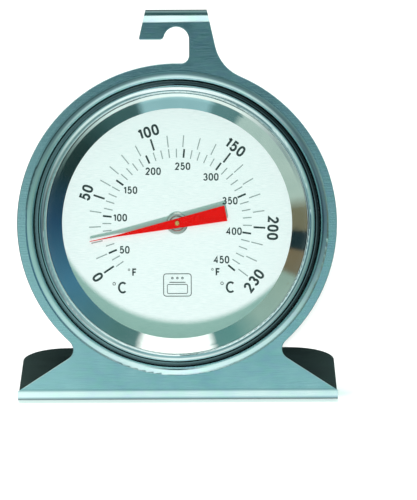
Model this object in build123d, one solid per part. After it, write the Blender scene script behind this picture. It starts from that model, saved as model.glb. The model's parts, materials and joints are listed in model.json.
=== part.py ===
"""Dial oven thermometer on a folded sheet-steel stand, in millimetres.

The row frame has +X to the right, the dial facing -Y and +Z up. Its origin is on the resting surface,
under the middle of the foot. The dial face leans back, so all round the dial is drawn on FACE: its origin
is the dial's centre in the frame's front plane, X is right, Y is up along the face and Z comes out of it.
A depth is how far a thing lies behind that front plane.
"""

import os
from math import cos, radians, sin, tan

from build123d import *

os.makedirs("parts", exist_ok=True)

# Stand: one sheet, bent into ring, hook and foot
sheet = 0.5
lean = 15.0  # degrees that the face leans back
ring_radius = 30.0  # also half the foot's width
dial_height = 33.75  # along the face, from the sharp corner where face and foot planes meet
foot_depth = 35.0  # from the front bend to the foot's rear edge
foot_bend = 2.2  # outside radius of the bend between face and foot
foot_corner = 8.5
shoulder_end = 31.4  # below the dial's centre, where the sloping shoulders reach full width
shoulder_slope = 32.8  # degrees
neck_fillet = 2.0
edge_round = 0.12

# Hook tab above the ring
hook_top_half = 5.75
hook_base_half = 7.05
hook_top = 40.15  # above the dial's centre
arm_bottom = 34.4
hook_bend = 2.5  # outside radius of the rolled top
hook_curl = 150.0  # degrees of roll
slot_radius = 2.4
slot_root = 1.5
arm_corner = 0.8
hook_blend = 8.0

# Collar of the stand that holds the case
opening_radius = 26.7
opening_roll = 1.8
collar_join = 29.0
seat_depth = 2.8
seat_radius = 27.55
crimp_radius = 26.6

# Dial case
bezel_sheet = 0.4
bezel_lip = 24.5
bezel_radius = 26.0
bezel_depth = 0.2
bezel_round = 1.0
lip_round = 0.38
flange_radius = 27.5
hem_radius = 26.5
hem_bend = 0.5
can_sheet = 0.45
can_radius = 25.45  # inside, round the glass and the dial
can_rear_radius = 23.5  # inside, behind the dial
can_back_depth = 15.0
can_emboss = 0.6
can_emboss_radius = 18.5
vent_count = 8
vent_ring = 14.0
vent_length = 7.0
vent_width = 1.6

# Glass, gasket, reflector and dial
glass_radius = 25.4
glass = 2.0
glass_bevel = 0.45
gasket = 0.25
reflector_sheet = 0.35
dial_radius = 25.3
dial_depth = 4.1
dial_sheet = 0.6
dial_edge = 21.65  # radius of the reflector where it meets the dial
reflector_knee = 23.6  # radius where the steep outer cone turns into the shallow inner one
outer_slope = 30.0  # degrees
knee_bend = 4.0

# Spindle and bearings
arbor_radius = 0.6
spigot_radius = 0.45
running_gap = 0.04
arbor_end_depth = 13.95
bush_flange = 2.06
bush_flange_height = 0.25
bush_dish = 0.12
bush_shank = 1.3
bush_swage = 1.9
swage_height = 0.4
rear_shank = 1.1
rear_flange = 1.8
rear_flange_height = 0.6
rear_swage = 1.55
washer_radius = 1.6
washer = 0.3
end_play = 0.05

# Pointer, at rest at room temperature
pointer_angle = 191.5  # degrees from X, counter-clockwise as seen from the front
pointer_depth = 3.5
pointer_sheet = 0.25
pointer_tip = 16.8
pointer_tail = 9.36
pointer_tail_half = 1.49
needle_start = 11.8
needle_half = 0.14
tip_half = 0.06

# Bridge and bimetal coil
bridge_sheet = 0.8
bridge_half = 3.5
bridge_reach = 12.3
bridge_rear_depth = 13.4
bridge_bend = 1.2
collet_radius = 2.0
coil_strip = 0.4
coil_width = 2.6
coil_depth = 8.7
coil_turns = 6
coil_tail = 3.2
rivet_radius = 0.5
rivet_head = 0.95
rivet_height = 0.45

# Derived places
glass_depth = bezel_depth + bezel_sheet
gasket_depth = glass_depth + glass
reflector_depth = gasket_depth + gasket
can_flange_depth = seat_depth + bezel_sheet
can_flange_radius = flange_radius - hem_bend
hem_depth = can_flange_depth + can_sheet + bezel_sheet
dial_back = dial_depth + dial_sheet
bore_radius = arbor_radius + running_gap
bush_tail_depth = dial_back + bridge_sheet + swage_height
washer_depth = bush_tail_depth + end_play
collet_depth = washer_depth + washer
rear_leaf_depth = bridge_rear_depth - bridge_sheet
rear_bush_depth = rear_leaf_depth - rear_flange_height
upright_inside = bridge_reach - bridge_sheet

face_up = (sin(radians(lean)), cos(radians(lean)))  # row Y and Z of one millimetre up the face
bend_setback = foot_bend / tan(radians((90 - lean) / 2))
front_reach = bend_setback - foot_bend  # how far the sharp corner lies ahead of the bend
flat_bottom = dial_height - bend_setback - 0.1  # below the dial's centre, just above the bend
corner_y = -foot_depth / 2 - front_reach
FACE = Plane(
    origin=(0, corner_y + dial_height * face_up[0], dial_height * face_up[1]),
    x_dir=(1, 0, 0),
    z_dir=(0, -face_up[1], face_up[0]),
)


def outline_of_sheet(line, thickness):
    """Section of a bent sheet that lies to the left of a line drawn along one of its faces."""
    return Face(line.wire().offset_2d(thickness, kind=Kind.ARC, side=Side.LEFT, closed=True))


def spun_sheet(points, radii, thickness):
    """Sheet turned about the dial's axis, to the left of a line of (radius, z) points."""
    line = FilletPolyline(*points, radius=radii)
    return revolve(Plane.XZ * outline_of_sheet(line, thickness), Axis.Z)


def turned(points):
    """Solid turned about the dial's axis from a closed outline of (radius, z)."""
    return revolve(Plane.XZ * make_face(Polyline(*points, close=True)), Axis.Z)


def disc(radius, depth, thickness, bore=0.0):
    """Plain round plate, its front at the given depth, with an optional bore."""
    plate = Circle(radius) - Circle(bore) if bore else Circle(radius)
    return Pos(0, 0, -depth) * extrude(plate, -thickness)


def rounded_at(sketch, x, y, radius):
    """The sketch with its corner nearest to x, y rounded."""
    corner = sketch.vertices().sort_by_distance((x, y))[0]
    return fillet(corner, radius)


def hook_outline():
    """Hook tab: a tapering tab, less its side-entry slot with a round seat at the top."""
    slope = (hook_base_half - hook_top_half) / (hook_top - arm_bottom)
    foot_half = hook_base_half + slope * (arm_bottom - 27)
    tab = make_face(
        Polyline(
            (-foot_half, 27),
            (foot_half, 27),
            (hook_top_half, hook_top),
            (-hook_top_half, hook_top),
            close=True,
        )
    )
    mouth = make_face(
        Polyline(
            (slot_radius, 26),
            (slot_radius, arm_bottom),
            (-ring_radius, arm_bottom),
            (-ring_radius, 26),
            close=True,
        )
    )
    return tab - mouth - Pos(0, arm_bottom) * Circle(slot_radius)


def stand_outline():
    """Front view of the flat face: ring, hook and sloping shoulders, without the opening."""
    inner_half = ring_radius / 2
    inner_top = (ring_radius - inner_half) * tan(radians(shoulder_slope)) - shoulder_end
    shoulders = make_face(
        Polyline(
            (-ring_radius, -shoulder_end),
            (-inner_half, inner_top),
            (inner_half, inner_top),
            (ring_radius, -shoulder_end),
            close=True,
        )
    )
    outline = Circle(ring_radius) + shoulders + hook_outline()
    for side in (-1, 1):
        outline = rounded_at(outline, side * 0.6 * ring_radius, -0.8 * ring_radius, neck_fillet)
    outline = rounded_at(outline, slot_radius, ring_radius, slot_root)
    outline = rounded_at(outline, -slot_radius, arm_bottom, arm_corner)
    outline = rounded_at(outline, hook_base_half + 1, 28.5, hook_blend)
    return rounded_at(outline, -hook_base_half, arm_bottom, 0.3)


def rolled_top():
    """Top of the hook tab, rolled over backwards."""
    bend_start = hook_top - hook_bend
    strip = Pos(0, bend_start, -sheet / 2) * Rot(90, 0, 0) * Rectangle(2 * hook_base_half, sheet)
    axis = Axis((0, bend_start, -hook_bend), (-1, 0, 0))
    curl = revolve(strip, axis, hook_curl)
    slope = (hook_base_half - hook_top_half) / (hook_top - arm_bottom)
    start_half = hook_top_half + slope * hook_bend
    taper = make_face(
        Polyline(
            (-start_half - 0.5 * slope, bend_start - 0.5),
            (start_half + 0.5 * slope, bend_start - 0.5),
            (hook_top_half, hook_top),
            (-hook_top_half, hook_top),
            close=True,
        )
    )
    lower = Pos(0, bend_start - hook_bend) * Rectangle(2 * start_half, 2 * hook_bend)
    return curl & extrude(taper + lower, -2 * hook_bend)


def stand_foot():
    """Bend under the face, which the shoulders' slope runs on over, and the foot, in the row frame."""
    start = dial_height - flat_bottom
    side_line = FilletPolyline(
        (corner_y + start * face_up[0], start * face_up[1]),
        (corner_y, 0),
        (foot_depth / 2, 0),
        radius=foot_bend,
    )
    section = outline_of_sheet(side_line, sheet)
    foot = extrude(Plane.YZ * section, ring_radius, both=True)
    rear_corners = foot.edges().filter_by(Axis.Z).sort_by(Axis.Y)[-2:]
    beside = Pos(0, 1 - shoulder_end) * Rectangle(2 * ring_radius + 2, 2) - stand_outline()
    return fillet(rear_corners, foot_corner) - FACE * Pos(0, 0, 1) * extrude(beside, -3)


def stand_frame():
    flat_top = hook_top - hook_bend
    plate = extrude(stand_outline(), -sheet)
    plate -= Pos(0, flat_top + 10, 0) * Box(60, 20, 4)
    plate -= Pos(0, -flat_bottom - 10, 0) * Box(2 * ring_radius + 2, 20, 4)
    front = plate.faces().sort_by(Axis.Z)[-1].edges()
    joined = [front.sort_by(Axis.Y)[0], front.sort_by(Axis.Y)[-1]]
    plate = fillet([edge for edge in front if edge not in joined], edge_round)
    plate -= disc(collar_join, -1, 4)
    collar = spun_sheet(
        [
            (collar_join, 0),
            (opening_radius, 0),
            (opening_radius, -seat_depth),
            (seat_radius, -seat_depth),
            (seat_radius, -hem_depth),
            (crimp_radius, -hem_depth),
        ],
        [opening_roll, 0.1, 0.1, 0.1],
        sheet,
    )
    return FACE * (plate + collar + rolled_top()) + stand_foot()


def bezel_ring():
    """Front ring of the case, hemmed round the can's flange, with the inner edge of its lip rounded."""
    ring = spun_sheet(
        [
            (hem_radius, -hem_depth),
            (flange_radius, -hem_depth),
            (flange_radius, -seat_depth),
            (bezel_radius, -seat_depth),
            (bezel_radius, -bezel_depth),
            (bezel_lip, -bezel_depth),
        ],
        [hem_bend, hem_bend, 0.2, bezel_round],
        bezel_sheet,
    )
    circles = ring.edges().filter_by(GeomType.CIRCLE)
    lip_edge = circles.filter_by(lambda edge: abs(edge.radius - bezel_lip) < 0.01).sort_by(Axis.Z)[-1]
    return FACE * fillet(lip_edge, lip_round)


def case_can():
    """Drawn case behind the dial, with a step that the dial rests on and vent slots in its back."""
    can = spun_sheet(
        [
            (can_flange_radius, -can_flange_depth),
            (can_radius, -can_flange_depth),
            (can_radius, -dial_back),
            (can_rear_radius, -dial_back),
            (can_rear_radius, -can_back_depth),
            (can_emboss_radius, -can_back_depth),
            (can_emboss_radius - can_emboss, -can_back_depth + can_emboss),
            (0, -can_back_depth + can_emboss),
        ],
        [0.5, 0.1, 0.6, 1.6, 0.5, 0.5],
        can_sheet,
    )
    slot = extrude(Rot(0, 0, 90) * SlotOverall(vent_length, vent_width), 2, both=True)
    slot = Pos(vent_ring, 0, -can_back_depth) * slot
    for i in range(vent_count):
        can -= Rot(0, 0, i * 360 / vent_count) * slot
    return FACE * can


def glass_lens():
    lens = disc(glass_radius, glass_depth, glass)
    return FACE * chamfer(lens.edges().filter_by(GeomType.CIRCLE), glass_bevel)


def lens_gasket():
    return FACE * disc(glass_radius, gasket_depth, gasket, bezel_lip)


def reflector_ring():
    """Dished conical ring, cut flat where it stands on the dial."""
    knee_depth = reflector_depth + (bezel_lip - reflector_knee) * tan(radians(outer_slope))
    inner_run = (reflector_knee - dial_edge) / (dial_depth - knee_depth)
    cone = spun_sheet(
        [
            (glass_radius, -reflector_depth),
            (bezel_lip, -reflector_depth),
            (reflector_knee, -knee_depth),
            (dial_edge - inner_run, -dial_depth - 1),
        ],
        [0.45, knee_bend],
        reflector_sheet,
    )
    return FACE * split(cone, Plane.XY.offset(-dial_depth), keep=Keep.TOP)


def dial_plate():
    return FACE * disc(dial_radius, dial_depth, dial_sheet, bush_shank)


def front_bush():
    """Eyelet riveted through dial and bridge, with a dished front flange and a bore for the spindle."""
    front = bush_flange_height - dial_depth
    bush = turned(
        [
            (bore_radius, front - bush_dish),
            (bush_flange - 0.75, front - bush_dish),
            (bush_flange - 0.55, front),
            (bush_flange - 0.2, front),
            (bush_flange, front - bush_dish),
            (bush_flange, -dial_depth),
            (bush_shank, -dial_depth),
            (bush_shank, swage_height - bush_tail_depth),
            (bush_swage, swage_height - bush_tail_depth),
            (bush_swage - 0.2, -bush_tail_depth),
            (bore_radius, -bush_tail_depth),
        ]
    )
    return FACE * bush


def rear_bush():
    """Bearing riveted in the bridge's rear leaf."""
    tail = bridge_rear_depth + swage_height
    bush = turned(
        [
            (bore_radius, -rear_bush_depth),
            (rear_flange, -rear_bush_depth),
            (rear_flange, -rear_leaf_depth),
            (rear_shank, -rear_leaf_depth),
            (rear_shank, -bridge_rear_depth),
            (rear_swage, -bridge_rear_depth),
            (rear_swage - 0.2, -tail),
            (bore_radius, -tail),
        ]
    )
    return FACE * bush


def movement_bridge():
    """C-shaped bracket: front leaf on the dial, upright for the coil's end, rear leaf for the bearing."""
    outer_line = FilletPolyline(
        (-bridge_half, -bridge_rear_depth),
        (bridge_reach, -bridge_rear_depth),
        (bridge_reach, -dial_back),
        (-bridge_half, -dial_back),
        radius=bridge_bend,
    )
    section = outline_of_sheet(outer_line, bridge_sheet)
    bridge = extrude(Plane.XZ * section, bridge_half, both=True)
    ends = bridge.edges().filter_by(Axis.Z).sort_by(Axis.X)[:4]
    bridge = fillet(ends, bridge_half - 0.1)
    bridge -= disc(bush_shank, dial_back, bridge_sheet)
    bridge -= disc(rear_shank, rear_leaf_depth, bridge_sheet)
    return FACE * (bridge - rivet_shank())


def rivet_place():
    """Middle of the rivet's inner head seat, on the coil strip's tail."""
    return Pos(upright_inside - coil_strip, coil_tail * 0.55, -coil_depth - coil_width / 2)


def rivet_shank():
    return rivet_place() * Rot(0, 90, 0) * extrude(Circle(rivet_radius), coil_strip + bridge_sheet)


def coil_rivet():
    grip = coil_strip + bridge_sheet
    head = extrude(Circle(rivet_head), rivet_height, taper=20)
    inner = Rot(180, 0, 0) * head
    outer = Pos(0, 0, grip) * head
    shank = extrude(Circle(rivet_radius), grip)
    return FACE * (rivet_place() * Rot(0, 90, 0) * (inner + shank + outer))


def bimetal_coil():
    """Flat spiral of bimetal strip, made of half rings, its tail riveted to the bridge's upright."""
    start = collet_radius + coil_strip / 2
    pitch = (upright_inside - coil_strip / 2 - start) / coil_turns
    tail = Box(coil_strip, coil_tail, coil_width)
    coil = Pos(upright_inside - coil_strip / 2, coil_tail / 2, -coil_width / 2) * tail
    for half in range(2 * coil_turns):
        side = 1 if half % 2 == 0 else -1
        radius = start + pitch * (half + 0.5) / 2
        band = Circle(radius + coil_strip / 2) - Circle(radius - coil_strip / 2)
        band &= Pos(0, side * coil_tail * 10) * Rectangle(coil_tail * 20, coil_tail * 20)
        coil += Pos(-side * pitch / 4, 0, 0) * extrude(band, -coil_width)
    return FACE * (Pos(0, 0, -coil_depth) * coil - rivet_shank())


def coil_collet():
    return FACE * disc(collet_radius, collet_depth, rear_bush_depth - end_play - collet_depth, arbor_radius)


def thrust_washer():
    return FACE * disc(washer_radius, washer_depth, washer, bore_radius)


def arbor():
    """Spindle: a thin front spigot riveted over the pointer, then the running diameter to the rear bush."""
    shoulder = pointer_depth + pointer_sheet
    rivet_depth = pointer_depth - 0.15
    rivet_radius_front = spigot_radius - 0.1
    shaft = turned(
        [
            (0, -rivet_depth),
            (rivet_radius_front, -rivet_depth),
            (spigot_radius, -pointer_depth + 0.05),
            (spigot_radius, -shoulder),
            (arbor_radius, -shoulder),
            (arbor_radius, 0.15 - arbor_end_depth),
            (arbor_radius - 0.15, -arbor_end_depth),
            (0, -arbor_end_depth),
        ]
    )
    return FACE * shaft


def pointer():
    """Sheet pointer with a square tail, tapering to a needle."""
    outline = make_face(
        Polyline(
            (-pointer_tail, -pointer_tail_half),
            (needle_start, -needle_half),
            (pointer_tip, -tip_half),
            (pointer_tip, tip_half),
            (needle_start, needle_half),
            (-pointer_tail, pointer_tail_half),
            close=True,
        )
    )
    blade = extrude(outline - Circle(spigot_radius), -pointer_sheet)
    return FACE * (Rot(0, 0, pointer_angle) * Pos(0, 0, -pointer_depth) * blade)


pieces = [
    stand_frame,
    bezel_ring,
    case_can,
    glass_lens,
    lens_gasket,
    reflector_ring,
    dial_plate,
    front_bush,
    rear_bush,
    movement_bridge,
    coil_rivet,
    bimetal_coil,
    coil_collet,
    thrust_washer,
    arbor,
    pointer,
]
for piece in pieces:
    export_step(piece(), f"parts/{piece.__name__}.step")
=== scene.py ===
"""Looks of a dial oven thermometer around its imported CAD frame, in metres."""

import json
from math import cos, pi, radians, sin

import bmesh
import bpy
from mathutils import Matrix, Vector


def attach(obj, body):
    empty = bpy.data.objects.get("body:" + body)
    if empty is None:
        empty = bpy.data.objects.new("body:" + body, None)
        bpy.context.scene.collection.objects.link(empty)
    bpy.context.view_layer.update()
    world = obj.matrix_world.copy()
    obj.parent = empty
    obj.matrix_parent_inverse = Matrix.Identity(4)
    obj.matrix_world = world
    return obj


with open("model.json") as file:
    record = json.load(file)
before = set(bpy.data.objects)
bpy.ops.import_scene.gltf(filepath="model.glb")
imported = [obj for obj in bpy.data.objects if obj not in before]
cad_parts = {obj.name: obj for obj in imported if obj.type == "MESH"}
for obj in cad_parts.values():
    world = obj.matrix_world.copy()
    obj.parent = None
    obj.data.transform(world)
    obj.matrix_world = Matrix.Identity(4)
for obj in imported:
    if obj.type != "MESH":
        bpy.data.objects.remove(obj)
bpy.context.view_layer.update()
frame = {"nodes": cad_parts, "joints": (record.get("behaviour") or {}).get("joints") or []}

MM = 0.001

# The face's own axes, from the pointer's joint, whose axis runs into the dial
turn = frame["joints"][0]
OUT = -Vector(turn["axis"]).normalized()
RIGHT = Vector((1, 0, 0))
UP = OUT.cross(RIGHT)
pivot = Vector(turn["pos_m"])
face_turn = Matrix((RIGHT, UP, OUT)).transposed()


def front_of(node):
    """How far out along the face's normal a CAD node reaches."""
    return max(v.co.dot(OUT) for v in frame["nodes"][node].data.vertices)


def place_on_face(level):
    """Matrix from millimetres round the spindle, in the face's axes, to a level along the face's normal."""
    centre = pivot + OUT * (level - pivot.dot(OUT))
    return Matrix.Translation(centre) @ face_turn.to_4x4() @ Matrix.Scale(MM, 4)


frame_centre = place_on_face(front_of("stand_frame")).translation
dial_place = place_on_face(front_of("dial_plate"))

# Print on the dial, in millimetres
ink = 0.015
celsius_ticks = (14.4, 16.6)
fahrenheit_ticks = (12.4, 14.05)
major_width = 0.34
minor_width = 0.2
celsius_ring = 18.05
celsius_height = 2.12
celsius_stroke = 0.41
celsius_unit = (10.15, -12.05)
celsius_unit_height = 2.2
fahrenheit_ring = 10.8
fahrenheit_height = 1.42
fahrenheit_stroke = 0.25
fahrenheit_unit = (7.85, -9.2)
fahrenheit_unit_height = 1.5

# The scale in degrees of turn: where its zero lies, the turn per degree Celsius and how that grows
zero_mark = 213.87
celsius_turn = 1.047
turn_growth = 0.000191


def scale_angle(celsius):
    """Where a temperature lies on the dial, counter-clockwise from the right."""
    return radians(zero_mark - celsius_turn * celsius - turn_growth * celsius**2)


def to_celsius(fahrenheit):
    """A Fahrenheit temperature in degrees Celsius."""
    return (fahrenheit - 32) / 1.8


# ---------------------------------------------------------------- strokes for the print


def arc(x, y, width, height, start, end, steps=14):
    """Points of an elliptical arc of half width and half height, from one angle in degrees to another."""
    angles = [radians(start + (end - start) * i / steps) for i in range(steps + 1)]
    return [(x + width * cos(a), y + height * sin(a)) for a in angles]


def ring(x, y, width, height, squareness=2.0, steps=32):
    """Points of a closed oval: an ellipse at a squareness of 2, squarer above it."""
    points = []
    for i in range(steps):
        c, s = cos(2 * pi * i / steps), sin(2 * pi * i / steps)
        reach = (abs(c) ** squareness + abs(s) ** squareness) ** (-1 / squareness)
        points.append((x + width * reach * c, y + height * reach * s))
    return points + points[:1]


# Each glyph is the strokes' middle lines in a box of height 1, with the box's width
GLYPHS = {
    "0": ([ring(0.27, 0.5, 0.27, 0.5, 2.5)], 0.54),
    "1": ([[(0.27, 0), (0.27, 1)], [(0.27, 0.97), (0.03, 0.78)]], 0.3),
    "2": ([arc(0.27, 0.73, 0.25, 0.27, 170, -30) + [(0.02, 0.0), (0.53, 0.0)]], 0.54),
    "3": ([arc(0.26, 0.75, 0.23, 0.25, 160, -88), arc(0.26, 0.26, 0.27, 0.26, 88, -160)], 0.54),
    "4": ([[(0.42, 0), (0.42, 1), (0.0, 0.3), (0.56, 0.3)]], 0.56),
    "5": ([[(0.48, 1), (0.11, 1), (0.05, 0.5)] + arc(0.26, 0.33, 0.27, 0.33, 130, -155)], 0.54),
    "C": ([arc(0.4, 0.5, 0.4, 0.5, 48, 312, 24)], 0.72),
    "F": ([[(0.48, 1), (0, 1), (0, 0)], [(0, 0.53), (0.42, 0.53)]], 0.5),
    "°": ([ring(0.12, 0.9, 0.12, 0.12)], 0.24),
}


def ribbon(bm, points, width):
    """Closed thin solid that follows a line of points; a line that ends where it starts is joined up.

    Its corners are mitred, up to twice the line's width.
    """
    closed = points[0] == points[-1]
    line = [Vector(p) for p in (points[:-1] if closed else points)]
    count = len(line)
    rims = []
    for i, here in enumerate(line):
        before = line[i - 1] if closed or i else here
        after = line[(i + 1) % count] if closed or i < count - 1 else here
        into = (here - before).normalized() if here != before else (after - here).normalized()
        onward = (after - here).normalized() if after != here else into
        across = Vector((-into.y - onward.y, into.x + onward.x)).normalized()
        reach = width / 2 / max(0.5, across.dot(Vector((-into.y, into.x))))
        left, right = here + across * reach, here - across * reach
        rims.append([bm.verts.new((p.x, p.y, z)) for z in (-ink / 2, ink) for p in (left, right)])
    last = count if closed else count - 1
    for i in range(last):
        a, b = rims[i], rims[(i + 1) % count]
        for j, k in ((0, 1), (1, 3), (3, 2), (2, 0)):
            bm.faces.new((a[j], b[j], b[k], a[k]))
    if not closed:
        bm.faces.new([rims[0][j] for j in (0, 1, 3, 2)])
        bm.faces.new([rims[-1][j] for j in (2, 3, 1, 0)])


def tick(bm, angle, start, end, width):
    """One radial stroke of a scale."""
    ribbon(bm, [(start * cos(angle), start * sin(angle)), (end * cos(angle), end * sin(angle))], width)


def lettering(bm, text, height, stroke, x, y, turned=0.0):
    """Generic numerals and unit letters centred at x, y and turned about their middle."""
    tall = height - stroke
    gap = stroke * 1.55
    total = sum(GLYPHS[c][1] * tall for c in text) + gap * (len(text) - 1)
    pen = -total / 2
    for c in text:
        strokes, width = GLYPHS[c]
        for points in strokes:
            flat = [(pen + px * tall, (py - 0.5) * tall) for px, py in points]
            spot = [
                (x + fx * cos(turned) - fy * sin(turned), y + fx * sin(turned) + fy * cos(turned))
                for fx, fy in flat
            ]
            ribbon(bm, spot, stroke)
        pen += width * tall + gap


# ---------------------------------------------------------------- node helpers


class Nodes:
    """Short ways to add nodes to a shader tree."""

    def __init__(self, tree):
        self.tree = tree

    def node(self, kind, settings=None, **inputs):
        """Adds a node. Each input, by name or as i0, i1, is a value or another node's output."""
        node = self.tree.nodes.new(kind)
        for key, value in (settings or {}).items():
            setattr(node, key, value)
        for key, value in inputs.items():
            slot = int(key[1:]) if key[1:].isdigit() else key.replace("_", " ")
            self.feed(node.inputs[slot], value)
        return node

    def feed(self, socket, value):
        """Sets a socket to a value, or links another node's output to it."""
        if isinstance(value, bpy.types.NodeSocket):
            self.tree.links.new(value, socket)
        else:
            socket.default_value = value

    def math(self, operation, *values):
        inputs = {f"i{i}": value for i, value in enumerate(values)}
        return self.node("ShaderNodeMath", {"operation": operation}, **inputs).outputs[0]

    def product(self, first, *others):
        """All the values multiplied."""
        for value in others:
            first = self.math("MULTIPLY", first, value)
        return first

    def vector(self, operation, *values):
        inputs = {f"i{i}": value for i, value in enumerate(values)}
        node = self.node("ShaderNodeVectorMath", {"operation": operation}, **inputs)
        return node.outputs["Value" if operation in ("DOT_PRODUCT", "LENGTH") else "Vector"]

    def part(self, vector, axis):
        """A vector's X, Y or Z."""
        return self.node("ShaderNodeSeparateXYZ", Vector=vector).outputs[axis]

    def spread(self, value, start, end, low=0.0, high=1.0, smooth=False):
        """A value from start to end spread over low to high, and held beyond."""
        settings = {"interpolation_type": "SMOOTHSTEP" if smooth else "LINEAR"}
        node = self.node("ShaderNodeMapRange", settings, Value=value)
        for name, number in (("From Min", start), ("From Max", end), ("To Min", low), ("To Max", high)):
            node.inputs[name].default_value = number
        return node.outputs["Result"]

    def mixed(self, share, low, high):
        """A colour between low and high, each a colour or another node's output."""
        node = self.node("ShaderNodeMix", {"data_type": "RGBA"}, Factor=share)
        for socket, colour in ((node.inputs[6], low), (node.inputs[7], high)):
            self.feed(socket, colour if isinstance(colour, bpy.types.NodeSocket) else (*colour, 1))
        return node.outputs[2]

    def bands(self, value, start, end, stops):
        """Colours along a value that runs from start to end: stops are (value, colour)."""
        node = self.node("ShaderNodeValToRGB", Fac=self.spread(value, start, end))
        elements = node.color_ramp.elements
        while len(elements) < len(stops):
            elements.new(0.5)
        for i, (at, _) in enumerate(stops):
            elements[i].position = (at - start) / (end - start)
        for element, (_, colour) in zip(elements, stops):
            element.color = (*colour, 1)
        return node.outputs["Color"]


class Finish(Nodes):
    """A material with a Principled shader."""

    def __init__(self, name, colour, metallic, roughness):
        self.material = bpy.data.materials.new(name)
        self.material.use_nodes = True
        super().__init__(self.material.node_tree)
        self.surface = self.tree.nodes["Principled BSDF"]
        self.surface.inputs["Base Color"].default_value = (*colour, 1)
        self.surface.inputs["Metallic"].default_value = metallic
        self.surface.inputs["Roughness"].default_value = roughness

    def face_place(self):
        """Place in millimetres on the face: X right, Y up along the face, Z out of it."""
        where = self.node("ShaderNodeTexCoord").outputs["Object"]
        mapping = self.node("ShaderNodeMapping", {"vector_type": "TEXTURE"}, Vector=where)
        mapping.inputs["Location"].default_value = frame_centre
        mapping.inputs["Rotation"].default_value = face_turn.to_euler()
        mapping.inputs["Scale"].default_value = (MM, MM, MM)
        return mapping.outputs["Vector"]

    def noise(self, place, stretch, detail=2.0):
        """Noise with so many features per millimetre along each axis, from 0 to 1."""
        scaled = self.vector("MULTIPLY", place, stretch)
        cloud = self.node("ShaderNodeTexNoise", Vector=scaled, Scale=1.0, Detail=detail)
        return self.spread(cloud.outputs["Fac"], 0.3, 0.7)

    def radius_depth(self, place):
        """Distance from the face's axis and height out of the face, as a vector."""
        radius = self.vector("LENGTH", self.vector("MULTIPLY", place, (1, 1, 0)))
        return self.node("ShaderNodeCombineXYZ", X=radius, Y=self.part(place, "Z")).outputs[0]

    def paint(self, colour):
        self.feed(self.surface.inputs["Base Color"], colour)

    def gloss(self, roughness):
        self.feed(self.surface.inputs["Roughness"], roughness)

    def bump(self, height, distance):
        """Bump from a height of 0 to 1, distance in millimetres."""
        node = self.node("ShaderNodeBump", Height=height, Strength=1.0, Distance=distance * MM)
        self.feed(self.surface.inputs["Normal"], node.outputs["Normal"])


# ---------------------------------------------------------------- materials


def brushed_stainless():
    """Brushed sheet steel with blue and green clouds, with painted light making it paler towards the left,
    and painted shade where the ring rolls inwards and deep in the groove round the case.
    """
    finish = Finish("brushed_stainless", (0.6, 0.76, 0.78), 1.0, 0.16)
    place = finish.face_place()
    streak = finish.noise(place, (0.3, 7.0, 7.0), 4)
    cloud = finish.noise(place, (0.15, 0.15, 0.15), 3)
    steel = finish.mixed(streak, (0.5, 0.7, 0.72), (0.62, 0.8, 0.82))
    tint = finish.mixed(finish.noise(place, (0.5, 0.8, 0.8), 3), (0.46, 0.76, 0.7), (0.48, 0.66, 0.78))
    cloudy = finish.mixed(cloud, steel, tint)
    # Painted light: the ring is made paler towards the left, where more light falls
    painted_light_left = finish.spread(finish.part(place, "X"), -10, -30, 0, 0.7)
    lit_left = finish.mixed(painted_light_left, cloudy, (0.76, 0.97, 0.97))
    # Painted shade where the ring starts to roll inwards and deep in the groove round the case
    finish.paint(groove_grime(finish, place, heat_tint(finish, place, lit_left)))
    finish.gloss(finish.spread(finish.math("ADD", streak, cloud), 0, 2, 0.09, 0.17))
    finish.bump(streak, 0.0016)
    return finish.material


def heat_tint(finish, place, metal):
    """Painted shade where the flat ring starts to roll inwards, strongest at the top."""
    radius = finish.part(finish.radius_depth(place), "X")
    inner = finish.spread(radius, 27.5, 27.85)
    outer = finish.spread(radius, 28.75, 28.4)
    upper = finish.spread(finish.part(place, "Y"), 0, 16, 0, 0.75)
    return finish.mixed(finish.product(inner, outer, upper), metal, (0.14, 0.23, 0.25))


def groove_grime(finish, place, metal):
    """Painted shade deep in the groove between the stand's rolled edge and the bezel, darker towards the
    right.
    """
    radius = finish.part(finish.radius_depth(place), "X")
    inner = finish.spread(radius, 25.8, 26.5, smooth=True)
    outer = finish.spread(radius, 27.3, 26.7, smooth=True)
    deep = finish.spread(finish.part(place, "Z"), -0.5, -2.0, smooth=True)
    darker_right = finish.spread(finish.part(place, "X"), -22, 18, 0.55, 0.95)
    return finish.mixed(finish.product(inner, outer, deep, darker_right), metal, (0.012, 0.016, 0.016))


def spun_metal(name, dark, light, smooth, rough, lines, depth, groove_shade=False):
    """Turned metal with rings round the face's axis, so many per millimetre and so many millimetres deep."""
    finish = Finish(name, light, 1.0, rough)
    place = finish.face_place()
    rings = finish.noise(finish.radius_depth(place), (lines, lines, 1))
    cloud = finish.noise(place, (0.25, 0.25, 0.25), 3)
    metal = finish.mixed(cloud, dark, light)
    # When asked, painted shade deep in the groove round the bezel
    finish.paint(groove_grime(finish, place, metal) if groove_shade else metal)
    finish.gloss(finish.spread(rings, 0, 1, smooth, rough))
    finish.bump(rings, depth)
    return finish.material


def clear_glass():
    """Flat mineral glass, its index kept low so that its sheen stays faint."""
    finish = Finish("clear_glass", (1, 1, 1), 0.0, 0.0)
    finish.surface.inputs["IOR"].default_value = 1.12
    finish.surface.inputs["Transmission Weight"].default_value = 1.0
    place = finish.face_place()
    finish.paint(finish.mixed(finish.noise(place, (0.1, 0.1, 0.1)), (0.975, 0.995, 0.985), (0.99, 1, 0.995)))
    return finish.material


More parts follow.
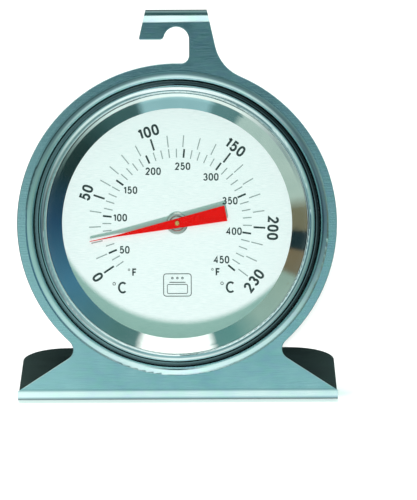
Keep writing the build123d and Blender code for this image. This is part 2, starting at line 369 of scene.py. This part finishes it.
def dial_finish():
    """Pale dial with a fine brushed grain along X."""
    finish = Finish("printed_dial", (0.84, 0.92, 0.91), 0.0, 0.42)
    place = finish.face_place()
    grain = finish.noise(place, (0.7, 9.0, 9.0), 4)
    cloud = finish.noise(place, (0.1, 0.2, 0.1), 2)
    base = finish.mixed(grain, (0.73, 0.84, 0.83), (0.9, 0.96, 0.95))
    finish.paint(finish.mixed(finish.math("MULTIPLY", cloud, 0.5), base, (0.83, 0.925, 0.91)))
    finish.gloss(finish.spread(grain, 0, 1, 0.35, 0.5))
    finish.bump(grain, 0.002)
    return finish.material


def dial_ink(name, dark, light):
    """Screen-printed ink, slightly uneven."""
    finish = Finish(name, dark, 0.0, 0.45)
    grain = finish.noise(finish.face_place(), (3, 3, 3), 3)
    finish.paint(finish.mixed(grain, dark, light))
    finish.gloss(finish.spread(grain, 0, 1, 0.38, 0.55))
    return finish.material


def red_paint():
    """Even red paint with little sheen."""
    finish = Finish("red_paint", (0.8, 0.004, 0.003), 0.0, 0.3)
    finish.surface.inputs["Specular IOR Level"].default_value = 0.1
    grain = finish.noise(finish.face_place(), (1.6, 1.6, 1.6), 3)
    finish.paint(finish.mixed(grain, (0.68, 0.002, 0.001), (0.78, 0.003, 0.002)))
    finish.gloss(finish.spread(grain, 0, 1, 0.25, 0.38))
    finish.bump(grain, 0.004)
    return finish.material


def matt_fibre():
    """Dark flecked heat-proof fibre."""
    finish = Finish("gasket_fibre", (0.05, 0.05, 0.048), 0.0, 0.85)
    fleck = finish.noise(finish.face_place(), (6, 6, 6), 4)
    finish.paint(finish.mixed(fleck, (0.03, 0.03, 0.03), (0.09, 0.088, 0.08)))
    finish.gloss(finish.spread(fleck, 0, 1, 0.75, 0.95))
    finish.bump(fleck, 0.03)
    return finish.material


def straw_strip():
    """Rolled bimetal strip, heat-tinted to straw."""
    finish = Finish("bimetal_strip", (0.5, 0.43, 0.32), 1.0, 0.38)
    place = finish.face_place()
    grain = finish.noise(place, (1.5, 1.5, 12), 3)
    tint = finish.noise(place, (0.3, 0.3, 0.3))
    finish.paint(finish.mixed(tint, (0.42, 0.36, 0.3), (0.6, 0.5, 0.33)))
    finish.gloss(finish.spread(grain, 0, 1, 0.28, 0.46))
    finish.bump(grain, 0.006)
    return finish.material


def give_materials():
    """Gives every CAD node its finish."""
    # The bezel takes painted shade deep in the groove round it
    bezel = spun_metal(
        "bright_stainless", (0.62, 0.76, 0.78), (0.7, 0.84, 0.85), 0.08, 0.14, 7, 0.0015, groove_shade=True
    )
    can = spun_metal("drawn_stainless", (0.5, 0.6, 0.61), (0.62, 0.72, 0.73), 0.24, 0.36, 5, 0.006)
    mirror = spun_metal("polished_aluminium", (0.76, 0.86, 0.86), (0.84, 0.92, 0.92), 0.03, 0.06, 5, 0.0003)
    nickel = spun_metal("nickel_bush", (0.5, 0.55, 0.52), (0.62, 0.66, 0.62), 0.25, 0.34, 8, 0.006)
    bridge = spun_metal("bridge_steel", (0.5, 0.52, 0.5), (0.64, 0.65, 0.62), 0.3, 0.42, 4, 0.005)
    brass = spun_metal("brass", (0.8, 0.42, 0.13), (0.95, 0.56, 0.2), 0.18, 0.32, 9, 0.006)
    finishes = {
        "stand_frame": brushed_stainless(),
        "bezel_ring": bezel,
        "case_can": can,
        "glass_lens": clear_glass(),
        "lens_gasket": matt_fibre(),
        "reflector_ring": mirror,
        "dial_plate": dial_finish(),
        "front_bush": nickel,
        "rear_bush": brass,
        "movement_bridge": bridge,
        "coil_rivet": brass,
        "bimetal_coil": straw_strip(),
        "coil_collet": brass,
        "thrust_washer": brass,
        "arbor": brass,
        "pointer": red_paint(),
    }
    for name, material in finishes.items():
        mesh = frame["nodes"][name].data
        mesh.materials.clear()
        mesh.materials.append(material)
    # Light goes straight through the glass to the dial
    frame["nodes"]["glass_lens"].visible_shadow = False


# ---------------------------------------------------------------- print on the dial


def ticks(bm, width, wanted):
    """Ticks of both scales at every ten degrees that is wanted."""
    for celsius in filter(wanted, range(0, 231, 10)):
        tick(bm, scale_angle(celsius), *celsius_ticks, width)
    for fahrenheit in filter(wanted, range(30, 451, 10)):
        tick(bm, scale_angle(to_celsius(fahrenheit)), *fahrenheit_ticks, width)


def minor_ticks(bm):
    """The short grey ticks between the long ones."""
    ticks(bm, minor_width, lambda degrees: degrees % 50)


def numerals(bm):
    """Celsius numerals turned with their ticks, the last one feet outwards, and upright Fahrenheit ones."""
    for celsius in (0, 50, 100, 150, 200, 230):
        angle = scale_angle(celsius)
        x, y = celsius_ring * cos(angle), celsius_ring * sin(angle)
        turned = angle + pi / 2 if celsius == 230 else angle - pi / 2
        lettering(bm, str(celsius), celsius_height, celsius_stroke, x, y, turned)
    for fahrenheit in range(50, 451, 50):
        angle = scale_angle(to_celsius(fahrenheit))
        x, y = fahrenheit_ring * cos(angle), fahrenheit_ring * sin(angle)
        # The first one stands a little lower than its tick
        lowered = 0.65 if fahrenheit == 50 else 0
        lettering(bm, str(fahrenheit), fahrenheit_height, fahrenheit_stroke, x, y - lowered)


def unit_letters(bm):
    """Letters and degree signs of both scales, at the lower left and the lower right."""
    for side in (-1, 1):
        x, y = side * celsius_unit[0], celsius_unit[1]
        lettering(bm, "C", celsius_unit_height, 0.36, x - 0.2, y)
        lettering(bm, "°", celsius_unit_height, 0.12, x - 1.75, y - 0.1)
        x, y = side * fahrenheit_unit[0], fahrenheit_unit[1]
        lettering(bm, "F", fahrenheit_unit_height, 0.28, x - 0.2, y)
        lettering(bm, "°", fahrenheit_unit_height, 0.1, x - 1.25, y - 0.05)


def rounded_box(x, y, half_width, half_height, corner):
    """Points round a box with rounded corners."""
    points = []
    for sx, sy, start in ((1, 1, 0), (-1, 1, 90), (-1, -1, 180), (1, -1, 270)):
        cx, cy = x + sx * (half_width - corner), y + sy * (half_height - corner)
        points += arc(cx, cy, corner, corner, start, start + 90, 6)
    return points + points[:1]


def oven_sign(bm, x, y):
    """Plain pictogram of an oven: a box with knobs, a handle and a window."""
    ribbon(bm, rounded_box(x, y, 2.6, 2.1, 0.5), 0.14)
    ribbon(bm, rounded_box(x, y - 0.75, 1.9, 0.85, 0.25), 0.12)
    ribbon(bm, [(x - 1.5, y + 0.5), (x + 1.5, y + 0.5)], 0.14)
    for i in range(-1, 2):
        ribbon(bm, ring(x + i * 0.95, y + 1.3, 0.16, 0.16, 2.0, 12), 0.13)


def dark_print(bm):
    """Everything printed in dark ink."""
    ticks(bm, major_width, lambda degrees: not degrees % 50)
    numerals(bm)
    unit_letters(bm)
    oven_sign(bm, 0, -11.6)


def print_dial(name, draw, material):
    """One layer of print on the dial."""
    bm = bmesh.new()
    draw(bm)
    bmesh.ops.recalc_face_normals(bm, faces=bm.faces)
    mesh = bpy.data.meshes.new(name)
    bm.to_mesh(mesh)
    bm.free()
    mesh.transform(dial_place)
    mesh.materials.append(material)
    piece = bpy.data.objects.new(name, mesh)
    bpy.context.scene.collection.objects.link(piece)
    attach(piece, "case")


# ---------------------------------------------------------------- stage, light and camera


def stage_floor():
    """Pale floor, left out of reflections, which show the studio instead."""
    bm = bmesh.new()
    bmesh.ops.create_grid(bm, x_segments=1, y_segments=1, size=8)
    mesh = bpy.data.meshes.new("floor")
    bm.to_mesh(mesh)
    bm.free()
    finish = Finish("pale_floor", (0.9, 0.9, 0.9), 0.0, 0.8)
    where = finish.node("ShaderNodeTexCoord").outputs["Object"]
    grain = finish.node("ShaderNodeTexNoise", Vector=where, Scale=60.0).outputs["Fac"]
    finish.paint(finish.mixed(grain, (0.88, 0.88, 0.88), (0.92, 0.92, 0.92)))
    mesh.materials.append(finish.material)
    floor = bpy.data.objects.new("floor", mesh)
    bpy.context.scene.collection.objects.link(floor)
    floor.visible_shadow = False
    floor.visible_glossy = False
    floor.visible_transmission = False
    return floor


def lamp(name, kind, towards, distance, power, **settings):
    """A lamp on a ray from the dial's centre, aimed back at it and unseen in reflections."""
    data = bpy.data.lights.new(name, kind)
    data.energy = power
    for key, value in settings.items():
        setattr(data, key, value)
    light = bpy.data.objects.new(name, data)
    light.location = frame_centre + towards.normalized() * distance
    light.rotation_euler = (-towards).to_track_quat("-Z", "Y").to_euler()
    light.visible_glossy = False
    light.visible_transmission = False
    bpy.context.scene.collection.objects.link(light)
    return light


def studio_lights(floor):
    """A key low in front of the dial, slightly to the left, and two suns that only light the floor."""
    below, aside = radians(59), radians(7)
    towards = OUT * cos(below) - (UP * cos(aside) + RIGHT * sin(aside)) * sin(below)
    lamp("key", "AREA", towards, distance=0.8, power=8.2, size=0.08, shape="DISK", color=(1.0, 0.8, 0.87))
    only_floor = bpy.data.collections.new("only_floor")
    only_floor.objects.link(floor)
    near_camera = Vector((-0.035, -1, 0.31))
    overhead = Vector((-0.15, 0.12, 1))
    front = lamp("front", "SUN", near_camera, distance=1, power=6.0, angle=radians(3))
    top = lamp("top", "SUN", overhead, distance=1, power=1.9, angle=radians(12), color=(1.0, 0.7, 0.78))
    for sun in (front, top):
        sun.light_linking.receiver_collection = only_floor


# The white boxes above and below the camera, and the glow that bounced light finds
WHITE_ABOVE = (1.45, 1.4, 1.35)
WHITE_BELOW = (1.15, 1.2, 1.15)
GLOW = (0.41, 0.65, 0.58)

# What polished metal mirrors, as angles in degrees with their colours. Over the middle the angle runs from
# straight behind (-180) by way of below, the front (0) and overhead to straight behind again (180)
MIDDLE = (
    (-180, (0.08, 0.1, 0.1)),
    (-135, (0.3, 0.34, 0.35)),
    (-125, (0.25, 0.28, 0.28)),
    (-108, (0.45, 0.5, 0.5)),
    (-90, (0.7, 0.85, 0.88)),
    (-75, WHITE_BELOW),
    (-26, WHITE_BELOW),
    (-16, (0.55, 0.7, 0.7)),
    (-6, (0.3, 0.47, 0.48)),
    (5, (0.36, 0.57, 0.58)),
    (12.5, (0.46, 0.74, 0.75)),
    (15, (0.37, 0.58, 0.6)),
    (17, (0.03, 0.09, 0.11)),
    (22.5, (0.04, 0.1, 0.13)),
    (25, WHITE_ABOVE),
    (76, WHITE_ABOVE),
    (80, (0.04, 0.11, 0.11)),
    (108, (0.03, 0.09, 0.09)),
    (120, (0.3, 0.38, 0.37)),
    (148, (0.4, 0.45, 0.43)),
    (155, (0.08, 0.105, 0.095)),
    (180, (0.08, 0.105, 0.095)),
)
# The same from below (-90) to overhead (90), as the reflector shows it behind the glass
INNER_MIDDLE = (
    (-90, WHITE_BELOW),
    (-43, WHITE_BELOW),
    (-36, (0.4, 0.64, 0.67)),
    (-20, (0.3, 0.5, 0.53)),
    (12.5, (0.46, 0.74, 0.75)),
    (27, WHITE_ABOVE),
    (90, WHITE_ABOVE),
)
# The walls as the reflector shows them, from straight down (-90) to straight up (90) along the face
RIGHT_SIDE = (
    (-90, (0.06, 0.13, 0.13)),
    (-60, (0.045, 0.11, 0.11)),
    (-40, (0.012, 0.035, 0.033)),
    (-25, (0.01, 0.03, 0.03)),
    (0, (0.014, 0.06, 0.12)),
    (30, (0.06, 0.19, 0.29)),
    (60, (0.085, 0.2, 0.19)),
    (90, (0.12, 0.22, 0.22)),
)
LEFT_SIDE = (
    (-90, (0.12, 0.26, 0.27)),
    (-60, (0.11, 0.23, 0.23)),
    (-57, (0.48, 0.6, 0.55)),
    (-12, (0.47, 0.57, 0.5)),
    (-6, (0.2, 0.18, 0.11)),
    (3, (0.19, 0.165, 0.1)),
    (5, (0.008, 0.024, 0.03)),
    (12, (0.008, 0.024, 0.03)),
    (14, (0.21, 0.15, 0.085)),
    (23, (0.19, 0.15, 0.09)),
    (26, (0.33, 0.43, 0.36)),
    (48, (0.33, 0.46, 0.4)),
    (62, (0.13, 0.3, 0.28)),
    (90, (0.1, 0.22, 0.22)),
)
# The walls as the outer metal shows them, by the same angle, near the face's normal
RIGHT_NEAR = (
    (-90, (0.62, 0.74, 0.74)),
    (-45, (0.35, 0.46, 0.46)),
    (-10, (0.32, 0.48, 0.45)),
    (20, (0.42, 0.6, 0.55)),
    (45, (0.75, 0.88, 0.85)),
    (90, WHITE_ABOVE),
)
LEFT_NEAR = (
    (-90, (0.62, 0.74, 0.74)),
    (-45, (0.35, 0.46, 0.46)),
    (0, (0.14, 0.2, 0.23)),
    (20, (0.3, 0.4, 0.4)),
    (45, (0.9, 1.0, 0.95)),
    (90, WHITE_ABOVE),
)
# And far from it
RIGHT_FAR = (
    (-90, (1.1, 1.1, 1.05)),
    (-60, (0.85, 0.93, 0.9)),
    (-30, (0.22, 0.33, 0.3)),
    (0, (0.26, 0.38, 0.33)),
    (30, (0.34, 0.5, 0.45)),
    (58, (0.4, 0.5, 0.48)),
    (76, (1.0, 1.05, 1.0)),
    (90, WHITE_ABOVE),
)
LEFT_FAR = (
    (-90, (1.1, 1.1, 1.05)),
    (-60, (0.95, 1.0, 0.95)),
    (-30, (0.14, 0.2, 0.22)),
    (0, (0.03, 0.055, 0.075)),
    (30, (0.12, 0.17, 0.17)),
    (58, (0.22, 0.3, 0.28)),
    (76, (1.0, 1.05, 1.0)),
    (90, WHITE_ABOVE),
)


def mirrored_studio(nodes, outside):
    """Colour of the studio in each direction; outside is 1 in front of the glass and 0 behind it."""
    way = nodes.node("ShaderNodeTexCoord").outputs["Generated"]
    across = nodes.part(way, "X")
    out = nodes.vector("DOT_PRODUCT", way, tuple(OUT))
    up = nodes.vector("DOT_PRODUCT", way, tuple(UP))
    forward = nodes.math("MULTIPLY", nodes.part(way, "Y"), -1.0)
    climb = nodes.math("DEGREES", nodes.math("ARCTAN2", nodes.part(way, "Z"), forward))
    lean = nodes.math("DEGREES", nodes.math("ARCTAN2", up, nodes.math("ABSOLUTE", across)))
    upright = nodes.math("ABSOLUTE", lean)
    to_right = nodes.spread(across, -0.02, 0.02)

    def walls(left, right):
        """Colours of the left and the right wall by their height along the face."""
        return nodes.mixed(to_right, nodes.bands(lean, -90, 90, left), nodes.bands(lean, -90, 90, right))

    def tilted(share):
        """How far each direction goes along the face's normal, tilted up by a share."""
        return nodes.math("ADD", out, nodes.math("MULTIPLY", up, share))

    behind_glass = nodes.bands(climb, -90, 90, INNER_MIDDLE)
    middle = nodes.mixed(outside, behind_glass, nodes.bands(climb, -180, 180, MIDDLE))
    reflector = nodes.mixed(nodes.spread(upright, 71, 75), walls(LEFT_SIDE, RIGHT_SIDE), middle)
    far = nodes.spread(tilted(0.3), 0.62, 0.36)
    metal = nodes.mixed(far, walls(LEFT_NEAR, RIGHT_NEAR), walls(LEFT_FAR, RIGHT_FAR))
    # The outer metal's walls take over far from the face's normal, and outside the glass nearly everywhere
    past = nodes.spread(tilted(0.15), 0.49, 0.43)
    nearly_all = nodes.math("MULTIPLY", outside, nodes.spread(out, 0.97, 0.9))
    sides = nodes.mixed(nodes.math("MAXIMUM", past, nearly_all), reflector, metal)
    # The middle also takes in what is straight ahead, behind the face, or up and down along it
    ahead, behind = nodes.spread(out, 0.975, 0.993), nodes.spread(out, -0.1, -0.35)
    along = nodes.spread(upright, 75, 88)
    seen = nodes.mixed(nodes.math("MAXIMUM", nodes.math("MAXIMUM", ahead, behind), along), sides, middle)
    # A dark card upright behind the object, which the foot mirrors beside the neck
    beside = nodes.math("ABSOLUTE", nodes.math("ADD", across, 0.007))
    card = nodes.math("MULTIPLY", nodes.spread(climb, 151, 156), nodes.spread(beside, 0.042, 0.031))
    return nodes.mixed(card, seen, (0.004, 0.009, 0.009))


def studio_world():
    """The studio round the object: white boxes above and below the camera, teal and brown walls."""
    world = bpy.data.worlds.new("studio")
    bpy.context.scene.world = world
    world.use_nodes = True
    nodes = Nodes(world.node_tree)
    path = nodes.node("ShaderNodeLightPath").outputs
    seen = mirrored_studio(nodes, nodes.spread(path["Transmission Depth"], 0, 1, 1, 0))
    # Sky and lamps already shine straight through the glass, so bounced light finds only a soft glow
    bounced = nodes.spread(path["Diffuse Depth"], 0, 1)
    nodes.feed(world.node_tree.nodes["Background"].inputs["Color"], nodes.mixed(bounced, seen, GLOW))


def photo_camera():
    """Square to the face and well away, with the object left of and above the middle."""
    to_right, down, distance = 5.88 * MM, 5.04 * MM, 0.83
    data = bpy.data.cameras.new("camera")
    data.lens = 319
    data.sensor_width = 36
    data.clip_start = 0.05
    camera = bpy.data.objects.new("camera", data)
    eye = frame_centre + RIGHT * to_right - UP * down + OUT * distance
    roll = Matrix.Rotation(radians(-0.27), 4, "Z")
    camera.matrix_world = Matrix.Translation(eye) @ face_turn.to_4x4() @ roll
    bpy.context.scene.collection.objects.link(camera)
    bpy.context.scene.camera = camera


give_materials()
print_dial("dial_print", dark_print, dial_ink("dial_ink", (0.008, 0.024, 0.024), (0.03, 0.055, 0.052)))
print_dial("dial_ticks", minor_ticks, dial_ink("grey_ink", (0.24, 0.31, 0.3), (0.33, 0.4, 0.39)))
studio_lights(stage_floor())
studio_world()
photo_camera()
bpy.context.scene.view_settings.view_transform = "Standard"
